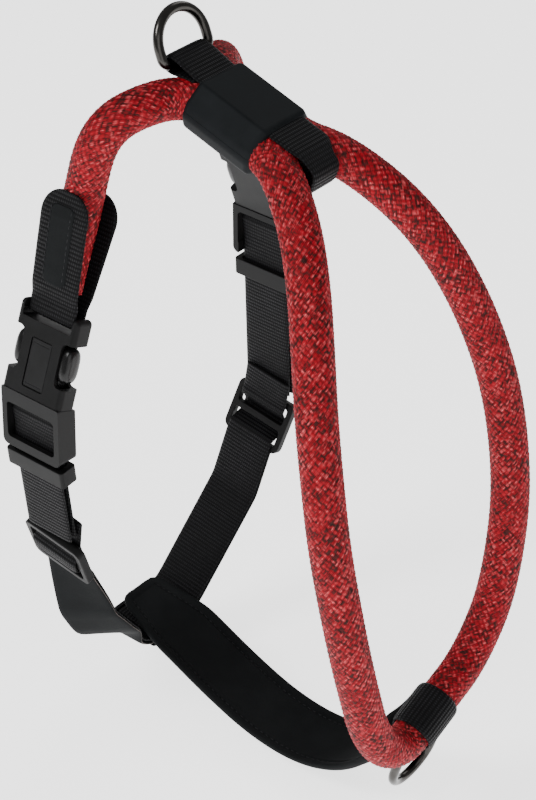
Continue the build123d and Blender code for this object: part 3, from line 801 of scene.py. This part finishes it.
# ---------------------------------------------------------------- rings
def ring_line(height):
    """A D from its bar at the origin along X, up Y."""
    half = (RING_INSIDE + RING_WIRE) / 2
    flat = half - RING_CORNER
    leg = height - half
    turn = [(RING_CORNER * sin(a), RING_CORNER - RING_CORNER * cos(a))
            for a in np.linspace(0, pi / 2, 10)[1:]]
    points = [(x, 0.0) for x in np.linspace(-flat, flat, 30)]
    points += [(flat + x, y) for x, y in turn]
    points += [(half, y) for y in np.linspace(RING_CORNER, leg, 12)[1:]]
    points += [(half * cos(a), leg + half * sin(a)) for a in np.linspace(0, pi, 48)[1:]]
    points += [(-half, y) for y in np.linspace(leg, RING_CORNER, 12)[1:]]
    points += [(-flat - x, y) for x, y in turn[-2::-1]]
    return points


def make_ring(end, bar, up, lean, height):
    """A ring that leans back from its bar."""
    line = np.array([(bar.x - y * sin(lean), bar.y + x, bar.z + up * y * cos(lean))
                     for x, y in ring_line(height)])
    wire = closed_wire(f"{end}_d_ring_wire", line, RING_WIRE / 2)
    return place(wire, f"{end}_ring", "ring_steel", f"{end}_d_ring")


# ---------------------------------------------------------------- chest
SLEEVE_RADIUS = ROPE_RADIUS + 1.0
SLEEVE_OVERLAP = 1.25
SLEEVE_WIDTH = 20.6
RING_LUG_WIDTH = 17.5


def make_chest_band():
    """Webbing wound round the rope as a sleeve, with its tail down round the front ring's bar."""
    low, high = Vector(CHEST[2]), Vector(CHEST[3])
    along = (high - low).normalized()
    middle = (low + high) / 2 + Vector((0, 0, 0.5)) - along * 2.5
    first = along.cross(Vector((0, 0, 1))).normalized()
    second = first.cross(along)
    wound = []
    for a in np.linspace(radians(-150), radians(228), 90):
        climb = min(1.0, max(0.0, a - radians(170)) / radians(30))
        radius = SLEEVE_RADIUS + SLEEVE_OVERLAP * climb
        wound.append(tuple(middle + first * radius * cos(a) + second * radius * sin(a)))
    sleeve = ribbon("chest_band_webbing", even(np.array(wound), 0.3), tuple(along),
                    width=SLEEVE_WIDTH, columns=28)
    bar = WIRE_TO_WEBBING
    x, z = FRONT_RING_BAR.x, FRONT_RING_BAR.z
    tail = [(x + bar + 0.4, 0, z + 4.5), (x + bar, 0, z + 2.0)]
    tail += [(x + bar * cos(a), 0, z + bar * sin(a)) for a in np.linspace(0, -pi, 24)]
    tail += [(x - bar - 0.8, 0, z + 4.0), (middle.x - SLEEVE_RADIUS - 1.2, 0, middle.z - 2.0)]
    lug = ribbon("chest_band_ring_loop", even(np.array(tail), 0.3), (0, 1, 0),
                 width=RING_LUG_WIDTH, columns=24)
    place(lug, "harness", "webbing_black")
    return place(sleeve, "harness", "webbing_black", "chest_band")


def pad_half_width(along, total):
    """Narrow at the rear, full from a sixth of the way, with rounded corners."""
    widen = eased(np.clip(along / PAD_TAPER, 0, 1))
    half = PAD_END_WIDTH / 2 + (PAD_WIDTH - PAD_END_WIDTH) / 2 * widen
    half = half - 5.5 * np.clip((along - total + PAD_TAPER) / PAD_TAPER, 0, 1) ** 1.5
    return cornered(cornered(half, along, 7.0), total - along, 8.0)


def make_pad():
    """Neoprene bound round its edge: pressed thin along the seam and full in the middle."""
    line = even(nurbs_line("pad_line", [(x, 0, z) for x, z in PAD_LINE], 16), 0.9)
    along = distances(line)
    total = along[-1]
    tangent = unit(np.gradient(line, axis=0))
    across = np.array((0.0, 1.0, 0.0))
    normal = unit(np.cross(tangent, across))
    if normal[:, 2].mean() < 0:
        normal = -normal
    half = pad_half_width(along, total)
    t = np.sin(np.linspace(-pi / 2, pi / 2, PAD_COLUMNS))
    side = half[:, None] * t[None, :]
    margin = np.minimum(half[:, None] - np.abs(side), np.minimum(along, total - along)[:, None])
    edge = np.sqrt(np.clip(1 - (1 - np.clip(margin / 2.4, 0, 1)) ** 2, 0.0, 1))
    seam = np.exp(-((margin - PAD_SEAM) / 0.7) ** 2)
    crown = np.clip((margin - PAD_SEAM) / 9.0, 0, 1)
    thick = np.clip(2.05 * edge - 0.95 * seam + 0.45 * eased(crown), 0.12, 3)
    curl = PAD_CURL * side ** 2
    top = line[:, None] + across * side[..., None] + normal[:, None] * (thick + curl)[..., None]
    low = line[:, None] + across * side[..., None] - normal[:, None] * (thick * 0.85 - curl)[..., None]
    rings = np.concatenate([top, low[:, ::-1]], axis=1)
    piece = finish_object("chest_pad_neoprene", grid_mesh("pad", rings), "neoprene")
    place(piece, "harness", "neoprene_black", "chest_pad")
    stitch_pad(line, along, half, normal)
    return piece


def stitch_pad(line, along, half, normal):
    """Thread laid in the seam on the pad's upper face, one short stitch after another."""
    inside = np.where((along > PAD_SEAM) & (along < along[-1] - PAD_SEAM))[0]
    stitches = []
    for sign in (1, -1):
        offset = sign * (half[inside] - PAD_SEAM)
        run = line[inside] + np.outer(offset, (0, 1, 0))
        run = even(run + normal[inside] * (1.25 + PAD_CURL * offset ** 2)[:, None], 0.25)
        stitches += [run[start:start + 9] for start in range(0, len(run) - 9, 12)]
    piece = thread_mesh("chest_pad_stitching", stitches, 0.28)
    place(piece, "harness", "neoprene_black")


def thread_mesh(name, stitches, radius):
    """Many short threads in one piece, each a closed little tube that dips at its ends."""
    whole = bmesh.new()
    angles = np.linspace(0, 2 * pi, 6, endpoint=False)
    sides = len(angles)
    for line in stitches:
        tangent = unit(np.gradient(line, axis=0))
        first, second = carried_frames(tangent)
        fade = np.sin(np.linspace(0.12, pi - 0.12, len(line))) ** 0.5
        rings = []
        for middle, swell, one, two in zip(line, radius * fade, first, second):
            rings.append([whole.verts.new(tuple(middle + swell * (cos(a) * one + sin(a) * two)))
                          for a in angles])
        for ring, after in zip(rings, rings[1:]):
            for k in range(sides):
                whole.faces.new((ring[k], ring[(k + 1) % sides], after[(k + 1) % sides], after[k]))
        whole.faces.new(rings[0][::-1])
        whole.faces.new(rings[-1])
    return finish_object(name, mesh_from(name, whole), "thread")


def make_pad_loop():
    """The webbing loop under the pad that the belly strap goes through."""
    drop = BELLY_CORNER[1] + 0.9
    half, tall = 13.7, 3.1
    corners = [(-half + 3, drop - tall), (half, drop - tall), (half, drop + tall), (-half, drop + tall),
               (-half, drop - tall), (-half + 2, drop - tall)]
    line = rounded_line([tuple(belly_point("left", 0, down, forward)) for forward, down in corners],
                        [2.6, 2.6, 2.6, 1.5], 0.3)
    piece = ribbon("pad_strap_loop_webbing", line, (0, 1, 0), width=20.0, thickness=1.2, columns=24)
    return place(piece, "harness", "webbing_black", "pad_strap_loop")


# ---------------------------------------------------------------- lower girth
FACING_THICKNESS = 1.8
FORWARD = np.array((cos(BELLY_TILT), 0.0, -sin(BELLY_TILT)))
BELLY_CENTRE = np.array(tuple(belly_point("left", 0, 40.0)))
GLIDE_BEHIND = -3.1
GLIDE_OVER = 3.1
LOWER_REACH = 46.0
BELLY_ROLL_REACH = 54.0
BELLY_SAG_REACH = 44.0


def girth_line(side_points, radii):
    """A rounded line through (side, out, down) places in the belly plane."""
    return rounded_line([tuple(belly_point(*at)) for at in side_points], radii, 0.3)


def near_joint(line, reach):
    """How much of the roll or slack a strap has at each point, from its joint to the belly strap."""
    along = distances(line)
    return eased(np.clip(1 - (along[-1] - along) / reach, 0, 1))


def twisted(line, reach, side):
    """Across the strap, with the right side's front edge rolled inward toward its joint."""
    tangent = unit(np.gradient(line, axis=0))
    normal = unit(np.cross(tangent, FORWARD))
    normal = normal * np.sign(np.sum(normal * (line - BELLY_CENTRE), axis=1, keepdims=True))
    roll = (STRAP_ROLL[side] * near_joint(line, reach))[:, None]
    return FORWARD * np.cos(roll) - normal * np.sin(roll)


def sagged(line, reach, side):
    """The line of a strap with the slack that hangs at its joint."""
    return line + np.outer(near_joint(line, reach), STRAP_SLACK[side])


def outside_of(line, across):
    """The facing's middle line, on the outside of a strap."""
    tangent = unit(np.gradient(line, axis=0))
    normal = unit(np.cross(tangent, across))
    away = np.sign(np.sum(normal * (line - BELLY_CENTRE), axis=1, keepdims=True))
    return line + normal * away * ((WEBBING_THICKNESS + FACING_THICKNESS) / 2 + 0.02)


def make_facing(name, line, across):
    """The smooth facing on the outside of a strap."""
    cover = ribbon(name, outside_of(line, across), across, "neoprene", width=WEBBING + 1,
                   thickness=FACING_THICKNESS, ribs=0.0)
    paint_edges(cover, WEBBING / 2 + 0.1)
    return cover


def make_belly():
    """The girth's lowest part, from one lower strap to the other, with its facing."""
    ends = [("left", *BELLY_END), ("left", *BELLY_CORNER), ("right", *BELLY_CORNER), ("right", *BELLY_END)]
    line = girth_line(ends, [22.0, 22.0])
    across = twisted(line, BELLY_ROLL_REACH, "right")
    line = sagged(line, BELLY_SAG_REACH, "right")
    place(ribbon("belly_strap_webbing", line, across), "harness", "webbing_black", "belly_strap")
    cover = make_facing("belly_facing_neoprene", line, across)
    place(cover, "harness", "neoprene_black", "belly_facing")


def paint_edges(piece, beyond):
    """Gives the raw edge of a facing its own material."""
    mesh = piece.data
    mesh.materials.append(MATERIALS["edge"])
    layer = mesh.uv_layers["weave"].data
    for polygon in mesh.polygons:
        if all(abs(layer[k].uv[0]) > beyond for k in polygon.loop_indices):
            polygon.material_index = 1


def lower_route(side, points, radii):
    """The line of a lower strap and its direction across, from places in the belly plane."""
    line = girth_line([(side, *at) for at in points], radii)
    return sagged(line, LOWER_REACH, side), twisted(line, LOWER_REACH, side)


def make_lower_strap(side):
    """From under the strap's end, in and out of the slider, and down to the belly strap."""
    behind, over = GLIDE_BEHIND, GLIDE_OVER
    weave = [(-11.0, behind), (-7.6, behind), (-2.6, over), (2.6, over), (7.6, behind), (13, behind)]
    points = [STRAP_TAIL] + [on_glide(*at) for at in weave] + [ARM_CORNER, BELLY_END]
    line, across = lower_route(side, points, [3.0, 1.8, 1.8, 1.8, 1.8, 3.0, 15.0])
    strap = ribbon(f"{side}_lower_webbing", line, across)
    below = [on_glide(9.5, behind), on_glide(13, behind), ARM_CORNER, BELLY_END]
    line, across = lower_route(side, below, [3.0, 15.0])
    cover = make_facing(f"{side}_lower_facing", line, across)
    for piece, slot in ((strap, "webbing_black"), (cover, "neoprene_black")):
        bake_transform(piece)
    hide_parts(f"{side}_lower_strap")


# ---------------------------------------------------------------- straps
PATCH_WIDTH = 12.6
PATCH_THICKNESS = 0.9
LOOP_GAP = 1.42
LOOP_RADIUS = 2.35


def make_rope_end_webbing(side):
    """Webbing down the outside of the rope's end, round the socket's bar and up the inside."""
    matrix = buckle_matrix(side)
    start = ROPE_END_START[side]
    bar = -SOCKET_LENGTH + 1.7
    gap = 2.6
    outer = [(-WRAP_TOP[side], 8.9), (-start, 8.7), (-(start + ROPE_END_STOP) / 2, 6.7),
             (-ROPE_END_STOP, 4.6)]
    around_bar = [(-41.5, gap + 0.4), (bar + gap + 0.4, gap)]
    corners = outer + around_bar
    corners = corners + [(down, -out) for down, out in reversed(corners)]
    line = rounded_line([tuple(matrix @ Vector((0, down, out))) for down, out in corners],
                        [12.0, 12.0, 8.0, 2.0, gap - 0.2, gap - 0.2, 2.0, 8.0, 12.0, 12.0], 0.3)
    piece = ribbon(f"{side}_rope_end_wrap", line, (1, 0, 0), ends=10.5, columns=38)
    place(piece, "harness", "webbing_black", f"{side}_rope_end_webbing")
    downs, outs = zip(*outer)
    patch = np.array([tuple(matrix @ Vector((-0.6, -down, np.interp(-down, downs, outs) + 0.72)))
                      for down in np.linspace(WRAP_TOP[side] - 6.0, ROPE_END_STOP + 2.0, 60)])
    face = ribbon(f"{side}_rope_end_patch", patch, (1, 0, 0), "neoprene", width=PATCH_WIDTH,
                  thickness=PATCH_THICKNESS, ribs=0.0, ends=3.0, columns=18)
    place(face, "harness", "webbing_black")
    lift = np.array(tuple(matrix.to_3x3() @ Vector((0, 0, 0.42))))
    stitches = []
    for x in (-6.0, 4.8):
        run = even(patch + np.array((x, 0, 0)), 0.25)
        stitches += [run[k:k + 8] + lift for k in range(4, len(run) - 12, 11)]
    place(thread_mesh(f"{side}_rope_end_stitching", stitches, 0.22), "harness", "webbing_black")


def make_strap_loop(side):
    """Doubled webbing: down the outside from the plug's bar, and back up the inside."""
    matrix = plug_matrix(side)
    sign = SIDE_SIGN[side]
    bar = matrix @ Vector((0, PLUG_BAR_AT, 0))
    leave = matrix @ Vector((0, PLUG_LENGTH + 1.0, 0))
    end = Vector((GIRTH_X, sign * STRAP_END[0], STRAP_END[1] + 0.6))
    middle = rounded_line([tuple(bar), tuple(leave), tuple(end)], [12.0], 0.3)
    tangent = unit(np.gradient(middle, axis=0))
    out = np.cross(tangent, (1.0, 0, 0))
    out = out * np.sign(out[:, 1] * sign)[:, None]
    around = [np.array(tuple(bar)) + out[0] * LOOP_RADIUS * cos(a) - tangent[0] * LOOP_RADIUS * sin(a)
              for a in np.linspace(0, pi, 24)]
    reach = np.clip(distances(middle) / 7.0, 0, 1)[:, None]
    offset = LOOP_RADIUS + (LOOP_GAP - LOOP_RADIUS) * reach
    line = np.concatenate([(middle + out * offset)[::-1], np.array(around)[1:-1], middle - out * offset])
    piece = ribbon(f"{side}_strap_loop_webbing", even(line, 0.3), (1, 0, 0))
    place(piece, f"{side}_strap", "webbing_black", f"{side}_strap_loop")


# ---------------------------------------------------------------- buckle
HOUSING = both(SOCKET_WIDTH / 2)
CAVITY = both(13.4)
SLOT = both(13.3)
HOLE = both(13.2)
THROUGH = both(9)


def make_socket(side):
    """The female half: a hollow shell, waisted at its two windows, with a bar for the webbing."""
    shell = block_of(HOUSING, (-SOCKET_LENGTH, 8), both(5), 2.2, 5)
    beyond = block_of(both(SOCKET_WIDTH / 2 + 1), (0, 9), THROUGH, 0)
    cavity = block_of(CAVITY, (-27, 1), both(3.3), 0.8, 2, axis=1)
    windows = [block_of((x - 5.2, x + 5.2), (-27.2, -8.6), THROUGH, 2.4, 4, axis=2) for x in both(15.6)]
    slot = block_of(SLOT, (-34.6, -31.3), THROUGH, 1.0, 3, axis=2)
    waist = [block_of(SLOT, (-39, -34.5), z, 0) for z in ((-9, -1.55), (1.55, 9))]
    badge = block_of(both(5.7), (-24.6, -3.4), (4.2, 9), 1.0, 3, axis=2)
    mesh = carve(shell, (), [beyond, cavity, slot, badge] + windows + waist)
    return moulded(f"{side}_socket_shell", mesh, buckle_matrix(side), "harness",
                   f"{side}_buckle_socket")


def make_badge(side):
    """A plain plate, a little crowned, in the socket's recess."""
    plate = block_of(both(5.35), (-24.2, -3.8), (3.9, 4.75), 0.25, 2)
    groove = [block_of(both(4.3), (y - 0.3, y + 0.3), (4.6, 6), 0) for y in (-22.6, -5.4)]
    mesh = carve(plate, (), groove, 0.12)
    return moulded(f"{side}_badge_plate", mesh, buckle_matrix(side), "harness", f"{side}_badge",
                   "badge")


def make_plug(side):
    """The male half: a window frame with a bar, a bridge and the middle guide."""
    frame_block = block_of(HOUSING, (-3.0, PLUG_LENGTH), both(5), 2.8, 5, axis=2)
    window = block_of(HOLE, (5.0, PLUG_LENGTH - 4.2), THROUGH, 1.8, 4, axis=2)
    throat = block_of(both(12.9), (PLUG_LENGTH - 5, PLUG_LENGTH + 2), (-9, 2.9), 0)
    bar = rod(1.5, 14.6, PLUG_BAR_AT)
    guide = block_of(both(2.6), (-25.5, 2), both(2.6), 0.6)
    bridge = block_of(both(12.8), (-3.0, 2), both(2.6), 0.5)
    above = block_of(both(30), (-12, 0.2), both(12), 0)
    mesh = carve(frame_block, [bar], [window, throat], 0.0)
    mesh.transform(Matrix.Rotation(-PLUG_BEND, 4, "X"))
    mesh = carve(mesh, [], [above], 0.0)
    mesh = carve(mesh, [guide, bridge], [], 0.4)
    return moulded(f"{side}_plug_frame", mesh, buckle_matrix(side), f"{side}_strap",
                   f"{side}_buckle_plug")


def squared(value, power):
    """A unit sphere's coordinate pushed outward, for a squarer form."""
    return abs(value) ** power * (1 if value > 0 else -1)


def make_latch(side, end):
    """A spring arm with a bulged thumb pad that fills the socket's window."""
    arm = block_of((5.6, 10.9), (-25.0, -3.8), both(2.5), 0.9, 3)
    shape = bmesh.new()
    bmesh.ops.create_uvsphere(shape, u_segments=32, v_segments=20, radius=1.0)
    for vert in shape.verts:
        x, y, z = vert.co
        bulged = Vector((squared(x, 0.8), squared(y, 0.62), squared(z, 0.7)))
        vert.co = Vector((12.1 + 3.3 * bulged.x, -17.8 + 7.6 * bulged.y, 4.3 * bulged.z))
    mesh = carve(arm, [mesh_from("pad", shape)], [], 0.3)
    if end == "rear":
        mesh.transform(Matrix.Scale(-1, 4, (1, 0, 0)))
    return moulded(f"{side}_latch_{end}_arm", mesh, buckle_matrix(side), f"{side}_{end}_latch",
                   f"{side}_latch_{end}", "latch")


def make_keeper(side):
    """The sleeve that holds the doubled webbing together."""
    body = block_of(both(16), both(4), both(4.4), 1.4, 4, axis=1)
    hole = block_of(HOLE, THROUGH, both(2.6), 0.8, 3, axis=1)
    mesh = carve(body, [], [hole], 0.35)
    matrix = girth_matrix(side, KEEPER_AT[side], KEEPER_TILT[side])
    return moulded(f"{side}_keeper_sleeve", mesh, matrix, f"{side}_keeper_body", f"{side}_keeper")


def make_triglide(side):
    """The three-bar slider."""
    body = block_of(both(16), both(13), both(2.0), 3.6, 5, axis=2)
    holes = [block_of(HOLE, (low, low + 8.2), THROUGH, 1.2, 3, axis=2) for low in (-9.8, 1.6)]
    mesh = carve(body, [], holes, 0.5)
    return moulded(f"{side}_triglide_frame", mesh, glide_matrix(side), f"{side}_strap", f"{side}_triglide")


# ---------------------------------------------------------------- stage
def aim(thing, at):
    direction = Vector(at) - thing.location
    thing.rotation_euler = direction.to_track_quat("-Z", "Y").to_euler()


def make_camera():
    back = Vector((sin(CAMERA_AZIMUTH) * cos(CAMERA_ELEVATION), -cos(CAMERA_AZIMUTH) * cos(CAMERA_ELEVATION),
                   sin(CAMERA_ELEVATION)))
    data = bpy.data.cameras.new("camera")
    data.sensor_fit = "VERTICAL"
    data.sensor_height = CAMERA_SENSOR
    data.lens = CAMERA_LENS
    camera = linked("camera", data)
    camera.location = (CAMERA_TARGET + back * CAMERA_DISTANCE) * MM
    aim(camera, CAMERA_TARGET * MM)
    bpy.context.scene.camera = camera


def add_light(name, location, size, power):
    data = bpy.data.lights.new(name, "AREA")
    data.size = size
    data.energy = power
    lamp = linked(name, data)
    lamp.location = location
    aim(lamp, LIGHTS_AIM)


def make_stage():
    shader = Shader("floor", roughness=0.9, specular=0.1)
    spots = shader.noise(shader.place(), 3.0)
    shader.colour(spots, (0.3, (0.9, 0.9, 0.905)), (0.8, (0.94, 0.94, 0.94)))
    shader.out.inputs["Emission Color"].default_value = (1, 1, 1, 1)
    shader.out.inputs["Emission Strength"].default_value = FLOOR_GLOW
    bpy.ops.mesh.primitive_plane_add(size=8.0, location=(0, 0, CAD_BOUNDS[0][2] - 0.004))
    floor = bpy.context.object
    floor.name = "studio_floor"
    floor.data.materials.append(shader.material)
    world = bpy.context.scene.world or bpy.data.worlds.new("world")
    bpy.context.scene.world = world
    world.use_nodes = True
    world.node_tree.nodes["Background"].inputs[0].default_value = (1, 1, 1, 1)
    world.node_tree.nodes["Background"].inputs[1].default_value = WORLD_LIGHT
    add_light("key", (-0.45, -1.1, 1.2), 0.6, 18.0)
    add_light("fill", (1.1, -0.9, 0.5), 1.2, 8.0)
    add_light("rim", (-0.3, 1.2, 0.9), 0.8, 5.0)


# ---------------------------------------------------------------- build
make_camera()
for material_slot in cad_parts["rope_core"].material_slots:
    material_slot.material = MATERIALS["filling"]

make_rope()
make_block_half("cover", True)
make_block_half("base", False)
make_back_webbing()
TOP_BAR = in_block(-BLOCK_LENGTH / 2 - RING_REACH, 0, webbing_heights()[0] + RING_LIFT)
make_ring("top", TOP_BAR, 1, TOP_RING_LEAN, TOP_RING_HEIGHT)
make_ring("front", FRONT_RING_BAR, -1, FRONT_RING_LEAN, FRONT_RING_HEIGHT)
make_chest_band()
make_pad()
make_pad_loop()
make_belly()
for girth_side in ("right", "left"):
    make_lower_strap(girth_side)
    make_rope_end_webbing(girth_side)
    make_strap_loop(girth_side)
    make_socket(girth_side)
    make_badge(girth_side)
    make_plug(girth_side)
    make_latch(girth_side, "front")
    make_latch(girth_side, "rear")
    make_keeper(girth_side)
    make_triglide(girth_side)
make_stage()
